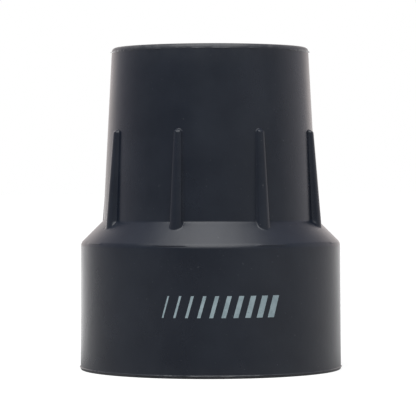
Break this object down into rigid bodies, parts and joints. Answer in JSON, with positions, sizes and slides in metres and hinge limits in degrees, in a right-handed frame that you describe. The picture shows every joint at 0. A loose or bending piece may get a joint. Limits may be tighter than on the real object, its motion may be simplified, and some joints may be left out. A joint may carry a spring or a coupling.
{
  "type": "rubber cane tip",
  "caption": "Moulded rubber tip for the foot of a cane, with a flared base, a ribbed tapering neck and a blind bore for the shaft.",
  "frame": {"origin": "centre of the sole, on the surface that the tip stands on", "axes": "+Z along the bore, from the sole to the open rim; -Y is the side that the picture shows"},
  "size_m": [0.0402, 0.0402, 0.0493],
  "materials": {
    "rubber": "satin moulded, blue-black"
  },
  "bodies": {
    "root": {"rubber_tip": "rubber"}
  },
  "joints": []
}
